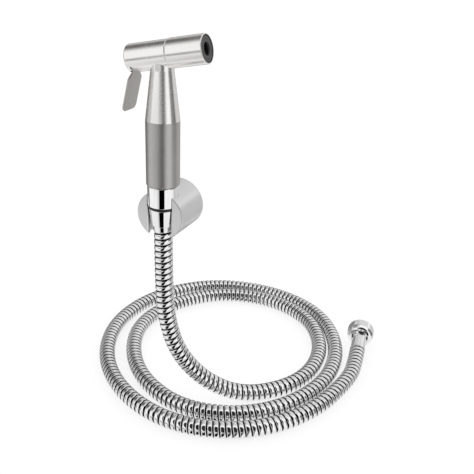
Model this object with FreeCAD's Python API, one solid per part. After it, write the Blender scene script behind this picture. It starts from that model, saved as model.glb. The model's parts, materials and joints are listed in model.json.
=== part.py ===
"""Handheld bath sprayer with its wall holder and metal hose, in millimetres.

Frame: the origin is the centre of the holder's wall face.  +Y goes into the wall, +X is the way
the nozzle points and +Z is up.  The handset stands upright in the holder's seat, and the hose
hangs from it to the floor, where it lies in loose turns.
"""
import FreeCAD, Part
import math
import os

Vec = FreeCAD.Vector
UP = Vec(0, 0, 1)
ACROSS = Vec(0, 1, 0)

# ---------------------------------------------------------------- driving dimensions
# Holder: a short round stub on the wall, with a tapered seat that is open to the front.
SEAT_Y = -28.0              # seat and handset axis, in front of the wall
HOLDER_LENGTH = 34.0
HOLDER_WALL_R = 18.9
HOLDER_FRONT_R = 18.2
HOLDER_EDGE_R = 0.7         # rounding of its front rim
SLOT_CHAMFER = 0.5          # along the slot's front edges
SLOT_CHAMFER_WIDTH = 20.4   # across the slot at the front, from chamfer to chamfer
SLOT_WIDTH = 18.8
POCKET_R = 15.5             # hollow in its back that goes over the wall plate
POCKET_DEPTH = 9.0
SEAT_CLEARANCE = 0.05
SEAT_FOOT_R = 9.9           # seat radius at the holder's underside

PLATE_R = 15.3
PLATE_THICKNESS = 5.0
PLATE_STEP = 2.0            # height of the raised middle that stiffens the plate
PLATE_STEP_R = 4.0
SCREW_SPACING = 18.0
SCREW_HOLE_R = 2.2
SCREW_HEAD_R = 4.2
SCREW_HEAD_DEPTH = 2.4
GRUB_R = 1.95
GRUB_LENGTH = 3.0
GRUB_Y = -2.5
GRUB_SOCKET = 2.0           # across the flats
GRUB_SOCKET_DEPTH = 1.5

# Coupling between the hose and the handset, as heights on the seat axis.
HOSE_TOP_Z = -12.7
CONE_FOOT_Z = -8.0
RING_FOOT_Z = 5.0
COLLAR_FOOT_Z = 7.0
COLLAR_TOP_Z = 22.3
CONE_FOOT_R = 9.2
CONE_TOP_R = 10.6
RING_R = 11.0
COLLAR_FOOT_R = 11.2
COLLAR_TOP_R = 11.5
COLLAR_EDGE_R = 0.5
CONE_EDGE_R = 0.4
RING_EDGE_R = 0.2
LIP_Z = 9.5                 # top of the lip that holds the tail's flange
TAIL_R = 6.25
TAIL_FLANGE_R = 9.4
TAIL_FLANGE_TOP_Z = 11.35
TAIL_BORE_R = 2.8
BARB_R = 3.9
BARB_LENGTH = 12.0
FERRULE_TOP_R = 7.9
FERRULE_FOOT_R = 7.5
FERRULE_EDGE_R = 0.3
THREAD_R = 10.48            # G1/2 pipe thread, major radius
THREAD_CLEARANCE = 0.03
WASHER_THICKNESS = 2.1
WASHER_BORE_R = 5.6
FILTER_THICKNESS = 0.35
FILTER_HOLES = ((1, 0), (6, 1.6), (12, 3.2), (18, 4.7))     # count, circle radius
FILTER_HOLE_R = 0.5
GAP = 0.05                  # clearance between parts that meet face to face
PIN_CLEARANCE = 0.01        # round the pressed lever pin
OVERCUT = 1.0               # how far a cutting shape reaches past what it cuts

# Handset: straight grip, tapered neck, tilted barrel.
GRIP_R = 12.1
GRIP_WALL = 1.5
GRIP_FOOT_Z = 22.6
GRIP_TOP_Z = 69.0
GRIP_EDGE_R = 0.8
NECK_TOP_R = 8.05
NECK_TAPER_Z = 103.0        # where the taper ends under the barrel
NECK_WALL = 1.5
SPIGOT_LENGTH = 12.0
SOCKET_Z = 88.0             # foot of the solid part of the neck
PLUG_LENGTH = 9.5
WATER_TUBE_R = 5.0
WATER_TUBE_BORE_R = 3.6
WATER_TUBE_FOOT_Z = 25.0
WATER_TUBE_TOP_Z = 97.0
WATERWAY_R = 4.0
TUBE_RING_R = 0.65          # half thickness of the water tube's O-rings

BARREL_TILT = 11.3          # degrees above the square to the grip
BARREL_Z = 113.0            # where the barrel's axis crosses the grip's axis
BARREL_R = 9.5
BARREL_BACK = -24.7         # places along the barrel, from that crossing
BARREL_SEAM = 6.7
BARREL_FRONT = 33.1
BARREL_EDGE_R = 1.2
BARREL_SEAM_EDGE_R = 0.5    # the seam shows as a groove between two rounded edges
SPIGOT_END = 16.0
SPIGOT_R = 8.3
REAR_BORE_R = 8.0
CHAMBER_R = 6.0
CHAMBER_BACK = -8.0
CHAMBER_FRONT = 8.5
FRONT_BORE_R = 6.8
CAP_THICKNESS = 1.2
CAP_DISH_R = 6.0            # shallow dish in the cap's outer face
CAP_DISH_DEPTH = 0.4
SLOT_BACK = -23.9
SLOT_FRONT = -18.7
LEVER_SLOT_HALF = 5.3

SLEEVE_R = 9.8
SLEEVE_BORE_R = 8.35
SLEEVE_FLANGE = (16.6, 18.0)
SLEEVE_FLANGE_R = 6.5
SLEEVE_MOUTH_R = 9.0
SLEEVE_EDGE_R = 0.35
SLEEVE_SEAM_EDGE_R = 0.7
INSERT_FRONT = 31.5
INSERT_BACK = 18.05
OUTLET_R = 4.3
OUTLET_FLOOR = 26.2
OUTLET_LEDGE = 0.9          # the spray plate rests on this ledge
OUTLET_WEB = 1.2
SPRAY_PLATE_THICKNESS = 0.8
SPRAY_HOLES = ((1, 0), (6, 1.3), (12, 2.6))
SPRAY_HOLE_R = 0.35
FACE_RING_R = 8.2           # leaves an open ring inside the sleeve's mouth
FACE_RING_FRONT = 32.9
FACE_GROOVE_R = 6.4         # V-groove turned in the face ring
FACE_GROOVE_HALF = 0.3
FACE_GROOVE_DEPTH = 0.5
FACE_EDGE_R = 0.4
REGULATOR_BACK = 12.0
REGULATOR_FRONT = 14.5
REGULATOR_HOLES = ((6, 4.2),)
REGULATOR_HOLE_R = 1.1

# Lever: a flat stamped plate on a pin, forked round the valve stem.
PIVOT_ALONG = -21.0
PIVOT_BELOW = 6.0
PIN_R = 1.0
PIN_LENGTH = 14.0
EYE_R = 1.9
EYE_BORE_R = 1.05
LEVER_ANGLE = 25.0          # degrees from the square to the barrel, to the back
LEVER_THICKNESS = 1.4
LEVER_ARM_HALF = 4.6
LEVER_NECK_HALF = 5.0
LEVER_PADDLE_HALF = 8.6
LEVER_ARM_END = 2.6         # distances from the pivot along the plate
LEVER_NECK_START = 3.0
LEVER_NECK_END = 3.7
LEVER_SHOULDER = 7.5
LEVER_LENGTH = 30.9
LEVER_CORNER_R = 3.8
LEVER_EDGE_R = 0.35         # rounding of the stamped plate's edges
FORK_TOP = 10.5
FORK_FLOOR = 4.2
FORK_HALF = 1.6

# Valve: the lever pulls the stem back, and the spring closes it.
STEM_R = 1.2
STEM_BACK = -21.6
HEAD_BACK = -21.4
HEAD_FRONT = -20.25
HEAD_R = 2.6
STEM_FRONT = 6.9
GLAND_BACK = -14.8
GLAND_BORE_R = 1.25
VALVE_RING_R = 0.9          # half thickness of the valve's O-rings
CIRCLIP_THICKNESS = 0.7
CIRCLIP_R = 8.45
CIRCLIP_BORE_R = 7.0
CIRCLIP_MOUTH = 3.0
DISC_BACK = 5.9
DISC_R = 4.5
DISC_HOLDER_R = 4.7
DISC_HOLDER_BACK = 4.4
VALVE_SEAT_FRONT = 11.5
VALVE_SEAT_BORE_R = 3.0
VALVE_SEAT_MOUTH_R = 4.5
SPRING_R = 3.4
SPRING_WIRE_R = 0.35
SPRING_TURNS = 6
SPRING_STEPS = 12           # corners in each turn of its path

# Hose: its route is a list of points, and the loose turns are radii about their centre.
HOSE_R = 7.0
HOSE_BORE_R = 5.6
LINER_R = 5.5
LINER_BORE_R = 4.0
FLOOR_Z = -172.0
LYING_Z = FLOOR_Z + HOSE_R
DROP = [
    (0, SEAT_Y, HOSE_TOP_Z), (0, SEAT_Y, -50), (1.5, -27.5, -88), (10, -23, -122),
    (30, -12.5, -150), (58, 1.5, LYING_Z), (89, 27, LYING_Z),
]
TURN_CENTRE = Vec(20, 62, 0)
TURN_POINTS = 12           # points in each turn, counter-clockwise from +X
TURN_RADII = [
    83, 90.5, 101, 106, 104.5, 99.5, 96, 90, 91.5, 98, 98.5, 97.5,
    100, 106, 117, 122, 125.5, 124, 120, 115.5, 115, 118.5, 118, 114,
    115.5,
]
TURN_END = [(135, 88, LYING_Z + 1), (132.9, 106.1, LYING_Z + 2.9)]
ARC_SHARE = 0.45            # share of the shorter run that each rounded corner takes

# Supply fitting on the far end, as distances from the hose's end.
SUPPLY_FERRULE_R = 6.5
SUPPLY_COLLAR_LENGTH = 1.2
SUPPLY_COLLAR_TAPER = 0.5
SUPPLY_NUT_R = 12.4
SUPPLY_NUT_BACK = 19.5
SUPPLY_NUT_FRONT = 33.0
SUPPLY_NUT_MOUTH_R = 7.6    # mouth that the ferrule goes into
SUPPLY_NUT_DISH = 1.4
SUPPLY_DOME_KNEE_R = 10.6   # the dome's knee: its radius, height above the back, and rounding
SUPPLY_DOME_KNEE = 0.9
SUPPLY_DOME_KNEE_ROUND = 3.0
SUPPLY_DOME_LENGTH = 4.2
SUPPLY_DOME_ROUND = 3.0
SUPPLY_NUT_EDGE_R = 1.4
SUPPLY_MOUTH_EDGE_R = 0.3
SUPPLY_LIP_FRONT = 21.9
SUPPLY_LIP_BORE_R = 5.2
SUPPLY_TAIL_R = 5.15
SUPPLY_FLANGE_R = 9.0
SUPPLY_FLANGE_FRONT = 23.2
SUPPLY_WASHER_FRONT = 25.0
SUPPLY_THREAD_R = 9.3       # G1/2 pipe thread, minor radius


# ---------------------------------------------------------------- shapes
def arc_at(before, corner, after, trim):
    """The arc that rounds a corner of a path, from and to points at the distance trim from it."""
    run_in = (corner - before).normalize()
    run_out = (after - corner).normalize()
    half_turn = run_in.getAngle(run_out) / 2
    radius = trim / math.tan(half_turn)
    to_centre = (run_out - run_in).normalize()
    middle = corner + to_centre * (radius / math.cos(half_turn) - radius)
    return corner - run_in * trim, middle, corner + run_out * trim


def turned(outline):
    """A solid of revolution about +Z from a closed outline of (radius, height) points.

    A third number rounds the outline at that point with an arc of that radius.
    """
    points = [Vec(point[0], 0, point[1]) for point in outline]
    stops = []
    for index, corner in enumerate(points):
        if len(outline[index]) == 2:
            stops.append([corner])
        else:
            before = points[index - 1]
            after = points[(index + 1) % len(points)]
            trim = outline[index][2] * math.tan((corner - before).getAngle(after - corner) / 2)
            stops.append(arc_at(before, corner, after, trim))
    edges = []
    for index, stop in enumerate(stops):
        edges.append(Part.LineSegment(stops[index - 1][-1], stop[0]).toShape())
        if len(stop) > 1:
            edges.append(Part.Arc(*stop).toShape())
    face = Part.Face(Part.Wire(edges))
    return face.revolve(Vec(0, 0, 0), UP, 360)


def tube(outer, inner, low, high):
    return turned([(inner, low), (outer, low), (outer, high), (inner, high)])


def rod(radius, low, high):
    return Part.makeCylinder(radius, high - low, Vec(0, 0, low))


def o_ring(centre_radius, thickness_radius, height):
    return Part.makeTorus(centre_radius, thickness_radius, Vec(0, 0, height))


def on_circle(radius, share, height=0):
    """A point on a circle about +Z, at a share of a full turn."""
    angle = 2 * math.pi * share
    return Vec(radius * math.cos(angle), radius * math.sin(angle), height)


def drilled_plate(radius, low, high, circles, hole_radius):
    """A round plate with holes through it, on circles given as (count, circle radius)."""
    drills = []
    for count, circle_radius in circles:
        for index in range(count):
            drill = rod(hole_radius, low, high)
            drill.translate(on_circle(circle_radius, index / count))
            drills.append(drill)
    return rod(radius, low, high).cut(drills)


def ring_groove(inner, outer, middle, half_width):
    """The space that an O-ring needs, with a little clearance."""
    return tube(outer, inner, middle - half_width - GAP, middle + half_width + GAP)


def box(low, high):
    size = [b - a for a, b in zip(low, high)]
    return Part.makeBox(size[0], size[1], size[2], Vec(*low))


def rounded_path(route):
    """Straight runs joined by tangent arcs, each as large as its two runs allow."""
    edges = []
    here = route[0]
    for before, corner, after in zip(route, route[1:], route[2:]):
        trim = ARC_SHARE * min((corner - before).Length, (after - corner).Length)
        first, middle, last = arc_at(before, corner, after, trim)
        edges.append(Part.LineSegment(here, first).toShape())
        edges.append(Part.Arc(first, middle, last).toShape())
        here = last
    edges.append(Part.LineSegment(here, route[-1]).toShape())
    return Part.Wire(edges)


def pipe(path, route, radius):
    """A solid rod along a path that starts at the route's first point, towards its second."""
    circle = Part.Wire(Part.makeCircle(radius, route[0], route[1] - route[0]))
    return path.makePipeShell([circle], True, False)


# ---------------------------------------------------------------- frames
SEAT = FreeCAD.Placement(Vec(0, SEAT_Y, 0), FreeCAD.Rotation())
# In the barrel's frame +Z runs along the barrel to the nozzle and +X points down to the grip.
BARREL = FreeCAD.Placement(Vec(0, SEAT_Y, BARREL_Z), FreeCAD.Rotation(ACROSS, 90 - BARREL_TILT))
# In the lever's frame +X runs down the plate from the pivot.
LEVER = BARREL.multiply(
    FreeCAD.Placement(Vec(PIVOT_BELOW, 0, PIVOT_ALONG), FreeCAD.Rotation(ACROSS, LEVER_ANGLE))
)


def save(name, shape, frame=None):
    if frame is not None:
        shape = shape.copy()
        shape.Placement = frame.multiply(shape.Placement)
    if not shape.isValid():
        raise ValueError(name + " is not a valid solid")
    shape.exportStep(os.path.join("parts", name + ".step"))


# ---------------------------------------------------------------- holder
def collar_radius(height):
    share = (height - COLLAR_FOOT_Z) / (COLLAR_TOP_Z - COLLAR_FOOT_Z)
    return COLLAR_FOOT_R + share * (COLLAR_TOP_R - COLLAR_FOOT_R)


def make_holder():
    front = -HOLDER_LENGTH
    body = turned([
        (0, 0), (HOLDER_WALL_R, 0), (HOLDER_FRONT_R, HOLDER_LENGTH, HOLDER_EDGE_R), (0, HOLDER_LENGTH),
    ])
    body.rotate(Vec(0, 0, 0), Vec(1, 0, 0), 90)
    top = HOLDER_WALL_R + OVERCUT
    seat = turned([
        (0, -top), (SEAT_FOOT_R, -top),
        (COLLAR_FOOT_R + SEAT_CLEARANCE, COLLAR_FOOT_Z),
        (collar_radius(top) + SEAT_CLEARANCE, top), (0, top),
    ])
    seat.translate(Vec(0, SEAT_Y, 0))
    slot = box((-SLOT_WIDTH / 2, front - OVERCUT, -top), (SLOT_WIDTH / 2, SEAT_Y, top))
    pocket = rod(POCKET_R, 0, POCKET_DEPTH)
    pocket.rotate(Vec(0, 0, 0), Vec(1, 0, 0), 90)
    grub_hole = rod(GRUB_R + GAP, -top, OVERCUT - POCKET_R)
    grub_hole.translate(Vec(0, GRUB_Y, 0))
    wide = SLOT_CHAMFER_WIDTH / 2
    narrow = wide - SLOT_CHAMFER
    corners = [
        Vec(-wide, front, -top), Vec(wide, front, -top),
        Vec(narrow, front + SLOT_CHAMFER, -top), Vec(-narrow, front + SLOT_CHAMFER, -top),
    ]
    chamfer = Part.Face(Part.makePolygon(corners + corners[:1])).extrude(UP * 2 * top)
    save("holder_body", body.cut([seat, slot, chamfer, pocket, grub_hole]))


def make_wall_plate():
    plate = rod(PLATE_R, 0, PLATE_THICKNESS).fuse(
        rod(PLATE_STEP_R, PLATE_THICKNESS, PLATE_THICKNESS + PLATE_STEP))
    for side in (-1, 1):
        for radius, low in ((SCREW_HOLE_R, 0), (SCREW_HEAD_R, PLATE_THICKNESS - SCREW_HEAD_DEPTH)):
            hole = rod(radius, low, PLATE_THICKNESS + PLATE_STEP)
            hole.translate(Vec(side * SCREW_SPACING / 2, 0, 0))
            plate = plate.cut(hole)
    plate.rotate(Vec(0, 0, 0), Vec(1, 0, 0), 90)
    save("wall_plate", plate)


def make_grub_screw():
    top = -PLATE_R - GAP
    foot = top - GRUB_LENGTH
    socket_radius = GRUB_SOCKET / math.sqrt(3)
    corners = [on_circle(socket_radius, side / 6, foot) for side in range(7)]
    socket = Part.Face(Part.makePolygon(corners)).extrude(UP * GRUB_SOCKET_DEPTH)
    screw = rod(GRUB_R, foot, top).cut(socket)
    screw.translate(Vec(0, GRUB_Y, 0))
    save("holder_grub_screw", screw)


# ---------------------------------------------------------------- hose coupling under the handset
def make_hose_coupling():
    save("swivel_ring", turned([
        (TAIL_R, RING_FOOT_Z + GAP), (RING_R, RING_FOOT_Z + GAP, RING_EDGE_R),
        (RING_R, COLLAR_FOOT_Z - GAP, RING_EDGE_R), (TAIL_R, COLLAR_FOOT_Z - GAP),
    ]), SEAT)
    save("hose_cone", turned([
        (TAIL_R, CONE_FOOT_Z), (CONE_FOOT_R, CONE_FOOT_Z, CONE_EDGE_R),
        (CONE_TOP_R, RING_FOOT_Z, CONE_EDGE_R), (TAIL_R, RING_FOOT_Z),
    ]), SEAT)
    save("hose_ferrule", turned([
        (TAIL_R, HOSE_TOP_Z + GAP), (FERRULE_FOOT_R, HOSE_TOP_Z + GAP, FERRULE_EDGE_R),
        (FERRULE_TOP_R, CONE_FOOT_Z - GAP), (TAIL_R, CONE_FOOT_Z - GAP),
    ]), SEAT)
    save("hose_tail", turned([
        (TAIL_BORE_R, HOSE_TOP_Z - BARB_LENGTH), (BARB_R, HOSE_TOP_Z - BARB_LENGTH),
        (BARB_R, HOSE_TOP_Z + GAP), (TAIL_R, HOSE_TOP_Z + GAP),
        (TAIL_R, LIP_Z + GAP), (TAIL_FLANGE_R, LIP_Z + GAP),
        (TAIL_FLANGE_R, TAIL_FLANGE_TOP_Z), (TAIL_BORE_R, TAIL_FLANGE_TOP_Z),
    ]), SEAT)
    save("collar_nut", turned([
        (TAIL_R + GAP, COLLAR_FOOT_Z), (COLLAR_FOOT_R, COLLAR_FOOT_Z, COLLAR_EDGE_R),
        (COLLAR_TOP_R, COLLAR_TOP_Z, COLLAR_EDGE_R), (THREAD_R, COLLAR_TOP_Z),
        (THREAD_R, TAIL_FLANGE_TOP_Z + GAP), (TAIL_FLANGE_R + GAP, TAIL_FLANGE_TOP_Z + GAP),
        (TAIL_FLANGE_R + GAP, LIP_Z), (TAIL_R + GAP, LIP_Z),
    ]), SEAT)
    washer_foot = TAIL_FLANGE_TOP_Z + GAP
    washer_top = washer_foot + WASHER_THICKNESS
    save("inlet_washer", tube(TAIL_FLANGE_R, WASHER_BORE_R, washer_foot, washer_top), SEAT)
    filter_foot = (washer_foot + washer_top - FILTER_THICKNESS) / 2
    save("inlet_filter", drilled_plate(WASHER_BORE_R - GAP, filter_foot, filter_foot + FILTER_THICKNESS,
                                       FILTER_HOLES, FILTER_HOLE_R), SEAT)


# ---------------------------------------------------------------- grip and neck
def make_grip():
    bore = GRIP_R - GRIP_WALL
    plug = bore - GAP
    nipple_foot = TAIL_FLANGE_TOP_Z + GAP + WASHER_THICKNESS + GAP
    plug_top = GRIP_FOOT_Z + PLUG_LENGTH
    groove_radius = WATER_TUBE_R + 2 * TUBE_RING_R + GAP
    save("grip_sleeve", turned([
        (bore, GRIP_FOOT_Z), (GRIP_R, GRIP_FOOT_Z, GRIP_EDGE_R), (GRIP_R, GRIP_TOP_Z),
        (bore, GRIP_TOP_Z),
    ]), SEAT)

    nipple = turned([
        (WATERWAY_R, nipple_foot), (THREAD_R - THREAD_CLEARANCE, nipple_foot),
        (THREAD_R - THREAD_CLEARANCE, GRIP_FOOT_Z), (plug, GRIP_FOOT_Z), (plug, plug_top),
        (WATER_TUBE_R + GAP, plug_top), (WATER_TUBE_R + GAP, WATER_TUBE_FOOT_Z),
        (WATERWAY_R, WATER_TUBE_FOOT_Z),
    ])
    lower_ring_z = (WATER_TUBE_FOOT_Z + plug_top) / 2
    lower_groove = ring_groove(WATER_TUBE_R, groove_radius, lower_ring_z, TUBE_RING_R)
    save("inlet_nipple", nipple.cut(lower_groove), SEAT)

    spigot_foot = GRIP_TOP_Z - SPIGOT_LENGTH
    shell_foot_r = plug - NECK_WALL
    neck = turned([
        (shell_foot_r, spigot_foot), (plug, spigot_foot), (plug, GRIP_TOP_Z + GAP),
        (GRIP_R, GRIP_TOP_Z + GAP), (NECK_TOP_R, NECK_TAPER_Z), (NECK_TOP_R, BARREL_Z),
        (WATERWAY_R, BARREL_Z), (WATERWAY_R, WATER_TUBE_TOP_Z),
        (WATER_TUBE_R + GAP, WATER_TUBE_TOP_Z), (WATER_TUBE_R + GAP, SOCKET_Z),
        (NECK_TOP_R, SOCKET_Z), (shell_foot_r, GRIP_TOP_Z),
    ])
    upper_ring_z = (SOCKET_Z + WATER_TUBE_TOP_Z) / 2
    neck = neck.cut(ring_groove(WATER_TUBE_R, groove_radius, upper_ring_z, TUBE_RING_R))
    neck.Placement = SEAT
    barrel_space = rod(BARREL_R, BARREL_BACK, BARREL_FRONT)
    barrel_space.Placement = BARREL
    save("handle_neck", neck.cut(barrel_space))

    save("water_tube", tube(WATER_TUBE_R, WATER_TUBE_BORE_R, WATER_TUBE_FOOT_Z + GAP,
                            WATER_TUBE_TOP_Z - GAP), SEAT)
    ring_radius = WATER_TUBE_R + TUBE_RING_R + GAP / 2
    rings = [o_ring(ring_radius, TUBE_RING_R, height) for height in (lower_ring_z, upper_ring_z)]
    save("water_tube_o_rings", Part.makeCompound(rings), SEAT)


# ---------------------------------------------------------------- barrel
def make_barrel():
    clip_front = GLAND_BACK - GAP
    clip_back = clip_front - CIRCLIP_THICKNESS
    shell = turned([
        (REAR_BORE_R, BARREL_BACK), (BARREL_R, BARREL_BACK, BARREL_EDGE_R),
        (BARREL_R, BARREL_SEAM, BARREL_SEAM_EDGE_R), (SPIGOT_R, BARREL_SEAM),
        (SPIGOT_R, SPIGOT_END), (FRONT_BORE_R, SPIGOT_END),
        (FRONT_BORE_R, CHAMBER_FRONT), (CHAMBER_R, CHAMBER_FRONT), (CHAMBER_R, CHAMBER_BACK),
        (REAR_BORE_R, CHAMBER_BACK),
    ])
    clip_groove = tube(CIRCLIP_R + GAP, REAR_BORE_R, clip_back - GAP, clip_front + GAP)
    lever_slot = box((REAR_BORE_R / 2, -LEVER_SLOT_HALF, SLOT_BACK),
                     (BARREL_R + OVERCUT, LEVER_SLOT_HALF, SLOT_FRONT))
    pin_hole = pin_rod(PIN_R + PIN_CLEARANCE, BARREL_R)
    waterway = rod(WATERWAY_R, SOCKET_Z, BARREL_Z)
    waterway.Placement = BARREL.inverse().multiply(SEAT)
    save("barrel_body", shell.cut([clip_groove, lever_slot, pin_hole, waterway]), BARREL)

    cap_front = BARREL_BACK + CAP_THICKNESS
    dish_floor = BARREL_BACK + CAP_DISH_DEPTH
    save("barrel_cap", turned([
        (0, dish_floor), (CAP_DISH_R, dish_floor), (CAP_DISH_R + CAP_DISH_DEPTH, BARREL_BACK),
        (REAR_BORE_R - GAP, BARREL_BACK), (REAR_BORE_R - GAP, cap_front), (0, cap_front),
    ]), BARREL)

    circlip = tube(CIRCLIP_R, CIRCLIP_BORE_R, clip_back, clip_front)
    circlip_mouth = box((-CIRCLIP_R, -CIRCLIP_MOUTH / 2, clip_back), (0, CIRCLIP_MOUTH / 2, clip_front))
    save("gland_circlip", circlip.cut(circlip_mouth), BARREL)


def pin_rod(radius, half_length):
    """A cylinder on the lever's pivot, in the barrel's frame."""
    return Part.makeCylinder(radius, 2 * half_length, Vec(PIVOT_BELOW, -half_length, PIVOT_ALONG), ACROSS)


def make_nozzle():
    seam = BARREL_SEAM + GAP
    save("nozzle_sleeve", turned([
        (SLEEVE_BORE_R, seam), (SLEEVE_R, seam, SLEEVE_SEAM_EDGE_R),
        (SLEEVE_R, BARREL_FRONT, SLEEVE_EDGE_R),
        (SLEEVE_MOUTH_R, BARREL_FRONT), (SLEEVE_MOUTH_R, SLEEVE_FLANGE[1]),
        (SLEEVE_FLANGE_R, SLEEVE_FLANGE[1]), (SLEEVE_FLANGE_R, SLEEVE_FLANGE[0]),
        (SLEEVE_BORE_R, SLEEVE_FLANGE[0]),
    ]), BARREL)
    save("sleeve_gasket", tube(SPIGOT_R - GAP, FRONT_BORE_R + GAP, SPIGOT_END + GAP,
                               SLEEVE_FLANGE[0] - GAP), BARREL)

    outer = SLEEVE_MOUTH_R - GAP
    ledge_r = OUTLET_R - OUTLET_LEDGE
    web_back = OUTLET_FLOOR - OUTLET_WEB
    save("nozzle_insert", turned([
        (CHAMBER_R, INSERT_BACK), (outer, INSERT_BACK), (outer, INSERT_FRONT),
        (OUTLET_R, INSERT_FRONT), (OUTLET_R, OUTLET_FLOOR), (ledge_r, OUTLET_FLOOR),
        (ledge_r, web_back), (CHAMBER_R, web_back),
    ]), BARREL)
    ring_back = INSERT_FRONT + GAP
    save("nozzle_face_ring", turned([
        (OUTLET_R, ring_back), (FACE_RING_R, ring_back), (FACE_RING_R, FACE_RING_FRONT, FACE_EDGE_R),
        (FACE_GROOVE_R + FACE_GROOVE_HALF, FACE_RING_FRONT),
        (FACE_GROOVE_R, FACE_RING_FRONT - FACE_GROOVE_DEPTH),
        (FACE_GROOVE_R - FACE_GROOVE_HALF, FACE_RING_FRONT), (OUTLET_R, FACE_RING_FRONT, FACE_EDGE_R),
    ]), BARREL)
    plate_back = OUTLET_FLOOR + GAP
    save("spray_plate", drilled_plate(OUTLET_R - GAP, plate_back, plate_back + SPRAY_PLATE_THICKNESS,
                                      SPRAY_HOLES, SPRAY_HOLE_R), BARREL)
    save("flow_regulator", drilled_plate(FRONT_BORE_R - GAP, REGULATOR_BACK, REGULATOR_FRONT,
                                         REGULATOR_HOLES, REGULATOR_HOLE_R), BARREL)


# ---------------------------------------------------------------- lever
def lever_outline():
    """Paddle, shoulders, neck and fork in the lever's X-Y plane."""
    end = LEVER_LENGTH
    corner = LEVER_CORNER_R
    paddle = LEVER_PADDLE_HALF
    bulge = corner * (1 - math.cos(math.radians(45)))
    half = [
        (-FORK_FLOOR, FORK_HALF), (-FORK_TOP, FORK_HALF), (-FORK_TOP, LEVER_ARM_HALF),
        (LEVER_ARM_END, LEVER_ARM_HALF), (LEVER_NECK_START, LEVER_NECK_HALF),
        (LEVER_NECK_END, LEVER_NECK_HALF), (LEVER_SHOULDER, paddle), (end - corner, paddle),
    ]
    right = [Vec(x, y, 0) for x, y in half]
    left = [Vec(x, -y, 0) for x, y in half]
    edges = [Part.LineSegment(a, b).toShape() for a, b in zip(right, right[1:])]
    edges.append(Part.Arc(right[-1], Vec(end - bulge, paddle - bulge, 0),
                          Vec(end, paddle - corner, 0)).toShape())
    edges.append(Part.LineSegment(Vec(end, paddle - corner, 0), Vec(end, corner - paddle, 0)).toShape())
    edges.append(Part.Arc(Vec(end, corner - paddle, 0), Vec(end - bulge, bulge - paddle, 0),
                          left[-1]).toShape())
    edges += [Part.LineSegment(a, b).toShape() for a, b in zip(left[::-1], left[-2::-1])]
    edges.append(Part.LineSegment(left[0], right[0]).toShape())
    return Part.Wire(edges)


def make_lever():
    plate = Part.Face(lever_outline()).extrude(UP * LEVER_THICKNESS)
    plate.translate(UP * (-LEVER_THICKNESS / 2))
    rims = [edge for edge in plate.Edges if edge.BoundBox.ZLength < GAP]
    plate = plate.makeFillet(LEVER_EDGE_R, rims)
    eye = Part.makeCylinder(EYE_R, 2 * LEVER_ARM_HALF, Vec(0, -LEVER_ARM_HALF, 0), ACROSS)
    eye_bore = Part.makeCylinder(EYE_BORE_R, 2 * BARREL_R, Vec(0, -BARREL_R, 0), ACROSS)
    save("trigger_lever", plate.fuse(eye).cut(eye_bore).removeSplitter(), LEVER)
    save("lever_pin", pin_rod(PIN_R, PIN_LENGTH / 2), BARREL)


# ---------------------------------------------------------------- valve
def make_gland():
    front = CHAMBER_BACK - GAP
    outer = REAR_BORE_R - GAP / 2
    stem_ring_r = STEM_R + GAP + VALVE_RING_R
    stem_ring_z = front - VALVE_RING_R - GAP / 2
    recess_back = front - 2 * VALVE_RING_R - GAP
    outer_ring_r = REAR_BORE_R - GAP - VALVE_RING_R
    outer_ring_z = (GLAND_BACK + front) / 2 - VALVE_RING_R
    recess = rod(stem_ring_r + VALVE_RING_R + GAP, recess_back, front)
    groove = ring_groove(outer_ring_r - VALVE_RING_R - GAP, REAR_BORE_R, outer_ring_z, VALVE_RING_R)
    save("valve_gland", tube(outer, GLAND_BORE_R, GLAND_BACK, front).cut([recess, groove]), BARREL)
    save("stem_o_ring", o_ring(stem_ring_r, VALVE_RING_R, stem_ring_z), BARREL)
    save("gland_o_ring", o_ring(outer_ring_r, VALVE_RING_R, outer_ring_z), BARREL)


def make_valve():
    save("valve_stem", rod(STEM_R, STEM_BACK, STEM_FRONT), BARREL)
    save("stem_head", tube(HEAD_R, STEM_R, HEAD_BACK, HEAD_FRONT), BARREL)
    save("disc_holder", tube(DISC_HOLDER_R, STEM_R, DISC_HOLDER_BACK, DISC_BACK - GAP), BARREL)
    disc_front = CHAMBER_FRONT - GAP
    save("valve_disc", turned([
        (STEM_R + GAP, DISC_BACK), (DISC_R, DISC_BACK), (DISC_R, disc_front), (0, disc_front),
        (0, STEM_FRONT + GAP), (STEM_R + GAP, STEM_FRONT + GAP),
    ]), BARREL)
    seat_back = CHAMBER_FRONT + GAP
    save("valve_seat", turned([
        (VALVE_SEAT_BORE_R, seat_back), (FRONT_BORE_R - GAP, seat_back),
        (FRONT_BORE_R - GAP, VALVE_SEAT_FRONT), (VALVE_SEAT_MOUTH_R, VALVE_SEAT_FRONT),
    ]), BARREL)


def make_spring():
    back = CHAMBER_BACK + SPRING_WIRE_R + GAP
    length = DISC_HOLDER_BACK - SPRING_WIRE_R - GAP - back
    corners = SPRING_TURNS * SPRING_STEPS
    route = [
        on_circle(SPRING_R, index / SPRING_STEPS, back + length * index / corners)
        for index in range(corners + 1)
    ]
    save("valve_spring", pipe(rounded_path(route), route, SPRING_WIRE_R), BARREL)


# ---------------------------------------------------------------- hose
def hose_route():
    route = [Vec(*point) for point in DROP]
    for index, radius in enumerate(TURN_RADII):
        route.append(TURN_CENTRE + on_circle(radius, index / TURN_POINTS, LYING_Z))
    return route + [Vec(*point) for point in TURN_END]


def make_hose():
    route = hose_route()
    path = rounded_path(route)
    print("hose length, mm: %.0f" % path.Length)
    for name, outer, inner in (("hose_armour", HOSE_R, HOSE_BORE_R), ("hose_liner", LINER_R, LINER_BORE_R)):
        layer = pipe(path, route, outer).cut(pipe(path, route, inner))
        expected = math.pi * (outer ** 2 - inner ** 2) * path.Length
        print("%s volume over section times length: %.4f" % (name, layer.Volume / expected))
        save(name, layer)
    return route


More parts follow.
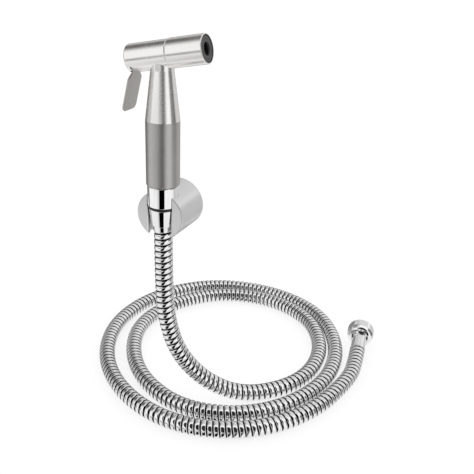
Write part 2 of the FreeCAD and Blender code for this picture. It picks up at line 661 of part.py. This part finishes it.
# ---------------------------------------------------------------- supply fitting
def make_supply_fitting(route):
    end = route[-1]
    heading = (end - route[-2]).normalize()
    frame = FreeCAD.Placement(end, FreeCAD.Rotation(UP, heading))
    dish_floor = SUPPLY_NUT_BACK + SUPPLY_NUT_DISH
    print("supply axis at the hose's end:", tuple(end), "heading:", tuple(round(x, 5) for x in heading))
    save("supply_ferrule", turned([
        (SUPPLY_TAIL_R, GAP), (HOSE_R, GAP), (HOSE_R, SUPPLY_COLLAR_LENGTH, FERRULE_EDGE_R),
        (SUPPLY_FERRULE_R, SUPPLY_COLLAR_LENGTH + SUPPLY_COLLAR_TAPER),
        (SUPPLY_FERRULE_R, dish_floor - GAP), (SUPPLY_TAIL_R, dish_floor - GAP),
    ]), frame)
    save("supply_tail", turned([
        (TAIL_BORE_R, -BARB_LENGTH), (BARB_R, -BARB_LENGTH), (BARB_R, GAP),
        (SUPPLY_TAIL_R, GAP), (SUPPLY_TAIL_R, SUPPLY_LIP_FRONT + GAP),
        (SUPPLY_FLANGE_R, SUPPLY_LIP_FRONT + GAP), (SUPPLY_FLANGE_R, SUPPLY_FLANGE_FRONT),
        (TAIL_BORE_R, SUPPLY_FLANGE_FRONT),
    ]), frame)
    thread_back = SUPPLY_WASHER_FRONT + GAP
    save("supply_nut", turned([
        (SUPPLY_LIP_BORE_R, dish_floor), (SUPPLY_NUT_MOUTH_R, dish_floor),
        (SUPPLY_NUT_MOUTH_R, SUPPLY_NUT_BACK, SUPPLY_MOUTH_EDGE_R),
        (SUPPLY_DOME_KNEE_R, SUPPLY_NUT_BACK + SUPPLY_DOME_KNEE, SUPPLY_DOME_KNEE_ROUND),
        (SUPPLY_NUT_R, SUPPLY_NUT_BACK + SUPPLY_DOME_LENGTH, SUPPLY_DOME_ROUND),
        (SUPPLY_NUT_R, SUPPLY_NUT_FRONT, SUPPLY_NUT_EDGE_R), (SUPPLY_THREAD_R, SUPPLY_NUT_FRONT),
        (SUPPLY_THREAD_R, thread_back), (SUPPLY_FLANGE_R + GAP, thread_back),
        (SUPPLY_FLANGE_R + GAP, SUPPLY_LIP_FRONT), (SUPPLY_LIP_BORE_R, SUPPLY_LIP_FRONT),
    ]), frame)
    save("supply_washer", tube(SUPPLY_FLANGE_R, WASHER_BORE_R, SUPPLY_FLANGE_FRONT + GAP,
                               SUPPLY_WASHER_FRONT), frame)


os.makedirs("parts", exist_ok=True)
make_holder()
make_wall_plate()
make_grub_screw()
make_hose_coupling()
make_grip()
make_barrel()
make_nozzle()
make_lever()
make_gland()
make_valve()
make_spring()
make_supply_fitting(make_hose())
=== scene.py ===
"""The looks of the handheld bath sprayer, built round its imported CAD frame.  All lengths are in metres."""
import bmesh
import bpy
import json
import math
import numpy as np
from mathutils import Matrix, Vector


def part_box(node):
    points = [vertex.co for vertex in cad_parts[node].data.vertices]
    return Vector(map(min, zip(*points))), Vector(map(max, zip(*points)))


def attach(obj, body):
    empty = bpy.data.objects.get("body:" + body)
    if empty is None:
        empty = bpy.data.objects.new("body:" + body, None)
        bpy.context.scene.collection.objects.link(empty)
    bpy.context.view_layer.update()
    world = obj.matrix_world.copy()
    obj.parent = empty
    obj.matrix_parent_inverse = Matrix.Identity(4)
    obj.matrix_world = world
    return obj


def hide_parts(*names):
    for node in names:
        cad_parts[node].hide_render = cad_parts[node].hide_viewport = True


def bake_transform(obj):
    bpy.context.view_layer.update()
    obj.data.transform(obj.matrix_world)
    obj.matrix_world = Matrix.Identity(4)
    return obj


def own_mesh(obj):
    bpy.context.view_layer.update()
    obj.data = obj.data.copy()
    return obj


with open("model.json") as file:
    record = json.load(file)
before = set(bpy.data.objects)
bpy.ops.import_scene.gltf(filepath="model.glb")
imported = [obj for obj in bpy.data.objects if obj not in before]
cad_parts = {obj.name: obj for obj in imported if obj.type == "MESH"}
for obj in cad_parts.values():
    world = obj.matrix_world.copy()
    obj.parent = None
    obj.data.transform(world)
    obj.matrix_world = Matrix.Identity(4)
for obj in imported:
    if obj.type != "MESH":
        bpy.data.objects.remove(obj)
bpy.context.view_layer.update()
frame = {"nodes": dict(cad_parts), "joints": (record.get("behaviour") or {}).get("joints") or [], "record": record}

# ---------------------------------------------------------------- the frame's own places
JOINTS = {joint["name"]: joint for joint in frame["joints"]}
SLOTS = {part["node"]: part["material_slot"] for part in frame["record"]["subparts"]}
SEAT_Y = JOINTS["handset_swivel"]["pos_m"][1]
FLOOR_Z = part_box("hose_armour")[0].z

BARREL_Z = 0.113            # where the barrel's axis crosses the grip's
BARREL_TILT = 11.3          # degrees that its nozzle points up
# Frames for the finishes: centre, and the turn about Y in degrees that brings a piece's axis onto Z.
FRAMES = {
    "upright": ((0, SEAT_Y, 0), 0.0),
    "barrel": ((0, SEAT_Y, BARREL_Z), BARREL_TILT - 90.0),
}
BARREL_NODES = (
    "barrel_body", "barrel_cap", "nozzle_sleeve", "nozzle_insert", "nozzle_face_ring", "spray_plate",
    "flow_regulator", "valve_gland", "valve_seat", "valve_stem", "stem_head", "disc_holder",
    "valve_disc", "valve_spring", "gland_circlip", "sleeve_gasket", "stem_o_ring", "gland_o_ring",
)

# ---------------------------------------------------------------- hose
HOSE_RADIUS = 0.007
HOSE_BORE = 0.0056
HOSE_TOP_Z = -0.0127
LYING_Z = FLOOR_Z + HOSE_RADIUS
DROP = [
    (0, SEAT_Y, HOSE_TOP_Z), (0, SEAT_Y, -0.05), (0.0015, -0.0275, -0.088), (0.01, -0.023, -0.122),
    (0.03, -0.0125, -0.15), (0.058, 0.0015, LYING_Z), (0.089, 0.027, LYING_Z),
]
TURN_CENTRE = (0.02, 0.062)
TURN_POINTS = 12            # points in each turn, counter-clockwise from +X
TURN_RADII = [
    0.083, 0.0905, 0.101, 0.106, 0.1045, 0.0995, 0.096, 0.09, 0.0915, 0.098, 0.0985, 0.0975,
    0.1, 0.106, 0.117, 0.122, 0.1255, 0.124, 0.12, 0.1155, 0.115, 0.1185, 0.118, 0.114,
    0.1155,
]
TURN_END = [(0.135, 0.088, LYING_Z + 0.001), (0.1329, 0.1061, LYING_Z + 0.0029)]
LINE_STEPS = 40             # points read from the spline for each of its control points
BORE_STEP = 4               # the bore follows every fourth of them
HOSE_SIDES = 24
STRIP_PITCH = 0.00478       # from one turn of the interlocked strip to the next
GROOVE_DEPTH = 0.001
GROOVE_SHARE = 0.18         # share of the pitch that the bottom of the groove takes
RIDGE_POINTS = 8
RIDGE_FALL = 0.32           # share of the groove's depth that the rounded ridge falls to at its sides
RIDGE_POWER = 3             # a higher power keeps more of the ridge's middle flat
MERGE_DISTANCE = 1e-6       # points nearer than this are one, where the ends of the strip run flat

# ---------------------------------------------------------------- view
CAMERA_PLACE = (0.2084, -0.4189, 0.1793)
CAMERA_HEADING = 21.0       # degrees from +Y towards -X
CAMERA_PITCH = 24.0         # degrees down
CAMERA_ROLL = 2.5
CAMERA_LENS = 0.0493671     # focal length for the sensor below
CAMERA_NEAR = 0.01
SENSOR_WIDTH = 0.036
MM = 1000                   # millimetres in a metre, which Blender's cameras use

# ---------------------------------------------------------------- studio
FLOOR_HALF = 10.0
FLOOR_COLOUR = (0.22, 0.22, 0.22)
FLOOR_GLOW = 0.8            # light of its own, which keeps the shadows on it faint
LIGHT_LEVEL = 1.05
# Cards that polished metal reflects: azimuth from and to, how far the card leans (degrees of azimuth
# for each degree of elevation), elevation from and to, softness, brightness.  All angles in degrees.
# Azimuth runs from +X towards +Y, and a card from or to 181 has no soft edge on that side.
CARDS = [
    (-77, -43, 0.55, -60, -21, 4, 0.0),
    (-67, -42, 0.55, -60, -6, 4, 0.1),
    (-64, -42, 0.55, -6, 12, 4, 0.35),
    (-84, -77, 0.55, -60, -6, 14, 0.65),
    (22, 118, 0, -30, 8, 8, 0.64),
    (0, 28, 0, -14, 30, 10, 0.22),
    (40, 125, 0, 28, 75, 12, 0.72),
    (105, 181, 0, -25, 12, 15, 0.25),
    (-181, -150, 0, -8, 12, 12, 0.5),
    (-132, -102, 0, -16, -10, 8, 0.3),
    (-181, 181, 0, -95, -30, 12, 0.88),
]
# Round cards: azimuth, elevation, radius of the even middle, radius where it ends, brightness.
ROUND_CARDS = [
    (165, 45, 8, 46, 0.1),
    (-70, 38, 32, 38, 0.02),
]


# ---------------------------------------------------------------- camera
def make_camera():
    heading, pitch, roll = (math.radians(a) for a in (CAMERA_HEADING, CAMERA_PITCH, CAMERA_ROLL))
    data = bpy.data.cameras.new("camera")
    data.sensor_width = SENSOR_WIDTH * MM
    data.lens = CAMERA_LENS * MM
    data.clip_start = CAMERA_NEAR
    camera = bpy.data.objects.new("camera", data)
    turn = Matrix.Rotation(heading, 4, "Z") @ Matrix.Rotation(math.pi / 2 - pitch, 4, "X")
    camera.matrix_world = Matrix.Translation(CAMERA_PLACE) @ turn @ Matrix.Rotation(roll, 4, "Z")
    bpy.context.scene.collection.objects.link(camera)
    bpy.context.scene.camera = camera


# ---------------------------------------------------------------- hose
def hose_route():
    route = list(DROP)
    for index, radius in enumerate(TURN_RADII):
        angle = 2 * math.pi * index / TURN_POINTS
        x = TURN_CENTRE[0] + radius * math.cos(angle)
        y = TURN_CENTRE[1] + radius * math.sin(angle)
        route.append((x, y, LYING_Z))
    return route + TURN_END


def smooth_line(route):
    """Points of the NURBS spline that has the route's points as its control points."""
    data = bpy.data.curves.new("route", "CURVE")
    data.dimensions = "3D"
    spline = data.splines.new("NURBS")
    spline.points.add(len(route) - 1)
    for point, place in zip(spline.points, route):
        point.co = (*place, 1)
    spline.order_u = 3
    spline.use_endpoint_u = True
    spline.resolution_u = LINE_STEPS
    curve = bpy.data.objects.new("route", data)
    bpy.context.scene.collection.objects.link(curve)
    bpy.context.view_layer.update()
    mesh = bpy.data.meshes.new_from_object(curve.evaluated_get(bpy.context.evaluated_depsgraph_get()))
    line = np.array([vertex.co for vertex in mesh.vertices])
    bpy.data.objects.remove(curve)
    bpy.data.meshes.remove(mesh)
    return line


def sides_along(line):
    """Two directions square to a line at each of its points, which don't twist about it."""
    along = np.gradient(line, axis=0)
    along /= np.linalg.norm(along, axis=1)[:, None]
    across = [np.cross(along[0], (0, 1, 0))]
    for direction in along[1:]:
        kept = across[-1] - direction * (across[-1] @ direction)
        across.append(kept / np.linalg.norm(kept))
    return np.array(across), np.cross(along, across)


def grid_faces(rings, sides, wrap):
    """Quads of a tube whose last side joins the first side of the ring that is wrap further on."""
    faces = []
    for ring in range(rings - 1 - wrap):
        for side in range(sides):
            here = ring * sides + side
            beside = here + 1 if side < sides - 1 else (ring + wrap) * sides
            faces.append((here, beside, beside + sides, here + sides))
    return faces


def strip_profile():
    """Shares of the pitch and of the groove's depth, from one groove over the ridge to the next."""
    profile = [(0.0, 1.0), (GROOVE_SHARE, 1.0)]
    for index in range(RIDGE_POINTS):
        along = (index + 0.5) / RIDGE_POINTS
        share = GROOVE_SHARE + (1 - GROOVE_SHARE) * along
        profile.append((share, RIDGE_FALL * abs(2 * along - 1) ** RIDGE_POWER))
    return profile


def make_hose():
    """A helical interlocked strip outside and a plain bore inside, as one closed tube."""
    line = smooth_line(hose_route())
    steps = np.linalg.norm(np.diff(line, axis=0), axis=1)
    reach = np.concatenate([[0], np.cumsum(steps)])
    across, over = sides_along(line)
    angles = 2 * math.pi * np.arange(HOSE_SIDES) / HOSE_SIDES

    def ring(places, radii):
        centre, side, up = (
            np.stack([np.interp(places, reach, values[:, axis]) for axis in range(3)], axis=1)
            for values in (line, across, over)
        )
        spoke = np.cos(angles)[:, None] * side + np.sin(angles)[:, None] * up
        return centre + radii[:, None] * spoke

    rings = []
    depths = []
    profile = strip_profile()
    for turn in range(-1, int(reach[-1] / STRIP_PITCH) + 2):
        for share, depth in profile:
            places = (turn + share + angles / (2 * math.pi)) * STRIP_PITCH
            inside = (places > 0) & (places < reach[-1])
            depth = np.where(inside, depth, 0.0)
            rings.append(ring(np.clip(places, 0, reach[-1]), HOSE_RADIUS - GROOVE_DEPTH * depth))
            depths.append(depth)
    faces = grid_faces(len(rings), HOSE_SIDES, len(profile))

    start = len(rings) * HOSE_SIDES
    stops = [*reach[:-1:BORE_STEP], reach[-1]]
    bore = [(0, HOSE_RADIUS), *((stop, HOSE_BORE) for stop in stops), (reach[-1], HOSE_RADIUS)]
    for place, radius in bore:
        rings.append(ring(np.full(HOSE_SIDES, place), np.full(HOSE_SIDES, radius)))
        depths.append(np.zeros(HOSE_SIDES))
    faces += [tuple(start + corner for corner in face) for face in grid_faces(len(bore), HOSE_SIDES, 0)]

    mesh = bpy.data.meshes.new("hose")
    mesh.from_pydata(np.concatenate(rings).tolist(), [], faces)
    groove = mesh.attributes.new("groove", "FLOAT", "POINT")
    groove.data.foreach_set("value", np.concatenate(depths))
    shape = bmesh.new()
    shape.from_mesh(mesh)
    bmesh.ops.remove_doubles(shape, verts=shape.verts, dist=MERGE_DISTANCE)
    loose = [vertex for vertex in shape.verts if not vertex.link_faces]
    bmesh.ops.delete(shape, geom=loose, context="VERTS")
    bmesh.ops.recalc_face_normals(shape, faces=shape.faces)
    shape.to_mesh(mesh)
    shape.free()
    mesh.shade_smooth()
    hose = bpy.data.objects.new("hose", mesh)
    bpy.context.scene.collection.objects.link(hose)
    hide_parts("hose_armour", "hose_liner")
    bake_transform(hose)
    return hose


# ---------------------------------------------------------------- valve spring
def make_spring():
    """A copy of the valve's spring, with a mesh of its own, attached to the handset."""
    node = frame["nodes"]["valve_spring"]
    spring = bpy.data.objects.new("spring", node.data.copy())
    spring.matrix_world = node.matrix_world
    bpy.context.scene.collection.objects.link(spring)
    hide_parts("valve_spring")
    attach(spring, "handset")
    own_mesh(spring)
    return spring


# ---------------------------------------------------------------- node building
def add(tree, kind, inputs=None, **settings):
    """A shader node with its settings.  An input is a value, or another node's output to link."""
    made = tree.nodes.new("ShaderNode" + kind)
    for name, value in settings.items():
        setattr(made, name, value)
    for name, value in (inputs or {}).items():
        if isinstance(value, bpy.types.NodeSocket):
            tree.links.new(value, made.inputs[name])
        else:
            made.inputs[name].default_value = value
    return made


def maths(tree, operation, *values):
    return add(tree, "Math", dict(enumerate(values)), operation=operation).outputs[0]


def ranged(tree, value, source, target, smooth=False):
    """The value with one range brought onto another."""
    inputs = {"Value": value, "From Min": source[0], "From Max": source[1],
              "To Min": target[0], "To Max": target[1]}
    kind = "SMOOTHSTEP" if smooth else "LINEAR"
    return add(tree, "MapRange", inputs, interpolation_type=kind).outputs["Result"]


def noise(tree, place, scales):
    """Noise from 0 to 1, with its own scale along each axis of the place."""
    spread = add(tree, "VectorMath", {0: place, 1: scales}, operation="MULTIPLY").outputs[0]
    return add(tree, "TexNoise", {"Vector": spread, "Scale": 1.0, "Detail": NOISE_DETAIL}).outputs["Fac"]


def mixed(tree, factor, dark, light):
    """A colour between two."""
    blend = add(tree, "Mix", {"Factor": factor}, data_type="RGBA")
    for name, colour in (("A", dark), ("B", light)):
        socket = next(s for s in blend.inputs if s.name == name and s.type == "RGBA")
        if isinstance(colour, bpy.types.NodeSocket):
            tree.links.new(colour, socket)
        else:
            socket.default_value = (*colour, 1)
    return next(s for s in blend.outputs if s.type == "RGBA")


# ---------------------------------------------------------------- finishes
SMUDGE = (60, 60, 60)       # noise cells per metre in the slow variation that every finish has
GRAIN = (3500, 3500, 3500)
LATHE = (70, 70, 5200)      # lines that run round a turned piece
ROLLED = (300, 5000, 5000)  # lines that run along a rolled sheet
DRAWN = (80, 80, 900)
NOISE_DETAIL = 2.0
SHADE_RANGE = (0.3, 0.7)    # the part of the noise's range that the finish spreads over its own
GRAIN_SHARE = 0.55
AXIS_LEAN = 0.02            # radians, so that the brushing's axis is never square to a flat end
RING_SPACING = 0.0009       # turned rings in the nozzle's rubber face
RING_HEIGHT = 0.00012
GROOVE_SHADE_DEPTHS = (0.15, 0.6)   # groove depths from where painted shade starts to darken the hose's chrome to where it is darkest
# colour of the painted shade at the bottom of the hose's groove
GROOVE_SHADE_LEVEL = 0.02


def grey(level, warmth=0.0):
    return (level * (1 + warmth), level, level * (1 - warmth))


# Darkest and lightest colour and the roughness there, noise cells per metre, height of the grain.
FINISHES = {
    "holder_chrome": dict(colours=(grey(0.76), grey(0.82)), roughness=(0.26, 0.36), grain=GRAIN,
                          bump=0.000004),
    "plate_steel": dict(colours=(grey(0.36), grey(0.5)), roughness=(0.25, 0.4), grain=ROLLED, bump=0.00001),
    "screw_steel": dict(colours=(grey(0.3), grey(0.45)), roughness=(0.2, 0.35), grain=LATHE, bump=0.00001),
    "liner_rubber": dict(colours=(grey(0.012), grey(0.02)), roughness=(0.5, 0.65), grain=GRAIN,
                         bump=0.00002, metallic=0.0),
    "brass": dict(colours=((0.5, 0.31, 0.1), (0.62, 0.4, 0.14)), roughness=(0.16, 0.3), grain=LATHE,
                  bump=0.00001),
    "chrome": dict(colours=(grey(0.9), grey(0.96)), roughness=(0.03, 0.06), grain=GRAIN, bump=0.000002),
    "hose_chrome": dict(colours=(grey(0.88), grey(0.96)), roughness=(0.05, 0.11), grain=GRAIN, bump=0.000004),
    "ring_black": dict(colours=(grey(0.004), grey(0.008)), roughness=(0.3, 0.45), grain=GRAIN,
                       bump=0.00001, metallic=0.0),
    "black_rubber": dict(colours=(grey(0.008), grey(0.014)), roughness=(0.5, 0.7), grain=GRAIN,
                         bump=0.00002, metallic=0.0),
    "face_rubber": dict(colours=(grey(0.045), grey(0.08)), roughness=(0.35, 0.5), grain=GRAIN,
                        bump=0.00002, metallic=0.0),
    "steel_satin": dict(colours=(grey(0.47, 0.025), grey(0.57, 0.025)), roughness=(0.34, 0.44), grain=LATHE,
                        bump=0.00001, anisotropy=0.5),
    "steel_bright": dict(colours=(grey(0.88, 0.02), grey(0.97, 0.02)), roughness=(0.2, 0.3), grain=LATHE,
                         bump=0.000005, anisotropy=0.5),
    "lever_steel": dict(colours=(grey(0.54, 0.03), grey(0.62, 0.03)), roughness=(0.42, 0.6), grain=GRAIN,
                        bump=0.00003),
    "tube_white": dict(colours=(grey(0.62), grey(0.7)), roughness=(0.35, 0.5), grain=DRAWN, bump=0.00001,
                       metallic=0.0),
    "black_plastic": dict(colours=(grey(0.006), grey(0.012)), roughness=(0.3, 0.45), grain=GRAIN,
                          bump=0.00001, metallic=0.0),
    "spring_steel": dict(colours=(grey(0.4), grey(0.52)), roughness=(0.2, 0.3), grain=GRAIN, bump=0.000006),
}


def place_in(tree, turned_frame):
    """The place on the object, in a frame whose Z is the piece's axis."""
    centre, turn = turned_frame
    place = add(tree, "TexCoord").outputs["Object"]
    inputs = {"Vector": place, "Center": centre, "Axis": (0, 1, 0), "Angle": math.radians(turn)}
    turned = add(tree, "VectorRotate", inputs, rotation_type="AXIS_ANGLE").outputs[0]
    return add(tree, "VectorMath", {0: turned, 1: centre}, operation="SUBTRACT").outputs[0]


def axis_in_world(tree, turned_frame):
    """The frame's Z, leaning a little."""
    lean = Matrix.Rotation(math.radians(-turned_frame[1]), 3, "Y") @ Matrix.Rotation(AXIS_LEAN, 3, "X")
    return add(tree, "VectorTransform", {"Vector": tuple(lean.col[2])}, vector_type="VECTOR",
               convert_from="OBJECT", convert_to="WORLD").outputs[0]


def finish(name, turned_frame, colours, roughness, grain, bump, metallic=1.0, anisotropy=0.0):
    """A surface whose colour, roughness and height vary with a fine grain and a slow smudge."""
    material = bpy.data.materials.new(name)
    material.use_nodes = True
    tree = material.node_tree
    surface = tree.nodes["Principled BSDF"]
    place = place_in(tree, turned_frame)
    fine = noise(tree, place, grain)
    slow = noise(tree, place, SMUDGE)
    slow_share = maths(tree, "MULTIPLY", slow, 1 - GRAIN_SHARE)
    shade = maths(tree, "MULTIPLY_ADD", fine, GRAIN_SHARE, slow_share)
    colour = mixed(tree, ranged(tree, shade, SHADE_RANGE, (0, 1)), *colours)
    tree.links.new(colour, surface.inputs["Base Color"])
    tree.links.new(ranged(tree, shade, SHADE_RANGE, roughness), surface.inputs["Roughness"])
    normal = add(tree, "Bump", {"Strength": 1.0, "Distance": bump, "Height": fine}).outputs[0]
    tree.links.new(normal, surface.inputs["Normal"])
    surface.inputs["Metallic"].default_value = metallic
    if anisotropy:
        surface.inputs["Anisotropic"].default_value = anisotropy
        tree.links.new(axis_in_world(tree, turned_frame), surface.inputs["Tangent"])
    return material


def add_turned_rings(material):
    """Fine rings in the height, round the nozzle's axis."""
    tree = material.node_tree
    place = add(tree, "SeparateXYZ", {0: place_in(tree, FRAMES["barrel"])}).outputs
    squares = [maths(tree, "MULTIPLY", place[axis], place[axis]) for axis in (0, 1)]
    radius = maths(tree, "SQRT", maths(tree, "ADD", *squares))
    wave = maths(tree, "SINE", maths(tree, "MULTIPLY", radius, 2 * math.pi / RING_SPACING))
    normal = tree.nodes["Principled BSDF"].inputs["Normal"]
    inputs = {"Strength": 1.0, "Distance": RING_HEIGHT, "Height": wave, "Normal": normal.links[0].from_socket}
    tree.links.new(add(tree, "Bump", inputs).outputs[0], normal)


def paint_groove_shade(material):
    """Painted shade: the chrome's colour goes dark down in the groove between the turns of the hose's strip."""
    tree = material.node_tree
    depth = add(tree, "Attribute", attribute_name="groove").outputs["Fac"]
    painted_shade = ranged(tree, depth, GROOVE_SHADE_DEPTHS, (0, 1), smooth=True)
    colour = tree.nodes["Principled BSDF"].inputs["Base Color"]
    tree.links.new(mixed(tree, painted_shade, colour.links[0].from_socket, grey(GROOVE_SHADE_LEVEL)), colour)


def apply_finishes(hose, spring):
    made = {}
    for name, node in [*frame["nodes"].items(), ("hose_armour", hose), ("valve_spring", spring)]:
        slot = SLOTS[name]
        where = "barrel" if name in BARREL_NODES else "upright"
        if (slot, where) not in made:
            material = finish(slot + "_" + where, FRAMES[where], **FINISHES[slot])
            if slot == "face_rubber":
                add_turned_rings(material)
            # the hose's chrome gets painted shade down in its grooves
            if slot == "hose_chrome":
                paint_groove_shade(material)
            made[slot, where] = material
        node.data.materials.clear()
        node.data.materials.append(made[slot, where])


# ---------------------------------------------------------------- studio
def make_floor():
    corners = [(x * FLOOR_HALF, y * FLOOR_HALF, FLOOR_Z) for x, y in ((-1, -1), (1, -1), (1, 1), (-1, 1))]
    mesh = bpy.data.meshes.new("floor")
    mesh.from_pydata(corners, [], [(0, 1, 2, 3)])
    material = bpy.data.materials.new("floor")
    material.use_nodes = True
    tree = material.node_tree
    paint = add(tree, "BsdfDiffuse", {"Color": (*FLOOR_COLOUR, 1)}).outputs[0]
    glow = add(tree, "Emission", {"Strength": FLOOR_GLOW}).outputs[0]
    both = add(tree, "AddShader", {0: paint, 1: glow}).outputs[0]
    tree.links.new(both, tree.nodes["Material Output"].inputs["Surface"])
    mesh.materials.append(material)
    floor = bpy.data.objects.new("floor", mesh)
    floor.visible_glossy = False
    bpy.context.scene.collection.objects.link(floor)


def window(tree, value, low, high, soft):
    """1 from low to high, fading to 0 over the softness outside them."""
    rise = ranged(tree, value, (low - soft, low), (0, 1), smooth=True)
    fall = ranged(tree, value, (high, high + soft), (1, 0), smooth=True)
    return maths(tree, "MULTIPLY", rise, fall)


def make_world():
    """Even white light, with darker cards that only polished surfaces see."""
    world = bpy.data.worlds.new("studio")
    world.use_nodes = True
    bpy.context.scene.world = world
    tree = world.node_tree
    direction = add(tree, "TexCoord").outputs["Generated"]
    look = add(tree, "SeparateXYZ", {0: direction}).outputs
    azimuth = maths(tree, "DEGREES", maths(tree, "ARCTAN2", look[1], look[0]))
    elevation = maths(tree, "DEGREES", maths(tree, "ARCSINE", look[2]))
    level = 1.0
    for left, right, lean, low, high, soft, brightness in CARDS:
        leant = maths(tree, "SUBTRACT", azimuth, maths(tree, "MULTIPLY", elevation, lean))
        share = maths(tree, "MULTIPLY", window(tree, leant, left, right, soft),
                      window(tree, elevation, low, high, soft))
        level = maths(tree, "MULTIPLY", level, ranged(tree, share, (0, 1), (1, brightness)))
    for turn, rise, middle, end, brightness in ROUND_CARDS:
        centre = Matrix.Rotation(math.radians(turn), 3, "Z") @ Matrix.Rotation(math.radians(-rise), 3, "Y")
        nearness = add(tree, "VectorMath", {0: direction, 1: tuple(centre.col[0])}, operation="DOT_PRODUCT")
        away = maths(tree, "DEGREES", maths(tree, "ARCCOSINE", nearness.outputs["Value"]))
        share = ranged(tree, away, (middle, end), (brightness, 1), smooth=True)
        level = maths(tree, "MULTIPLY", level, share)
    glossy = add(tree, "LightPath").outputs["Is Glossy Ray"]
    seen = maths(tree, "MULTIPLY", glossy, maths(tree, "SUBTRACT", level, LIGHT_LEVEL))
    strength = maths(tree, "ADD", seen, LIGHT_LEVEL)
    tree.links.new(strength, tree.nodes["Background"].inputs["Strength"])
    tree.nodes["Background"].inputs["Color"].default_value = (1, 1, 1, 1)


make_camera()
hose = make_hose()
apply_finishes(hose, make_spring())
make_floor()
make_world()
bpy.context.scene.view_settings.view_transform = "Standard"
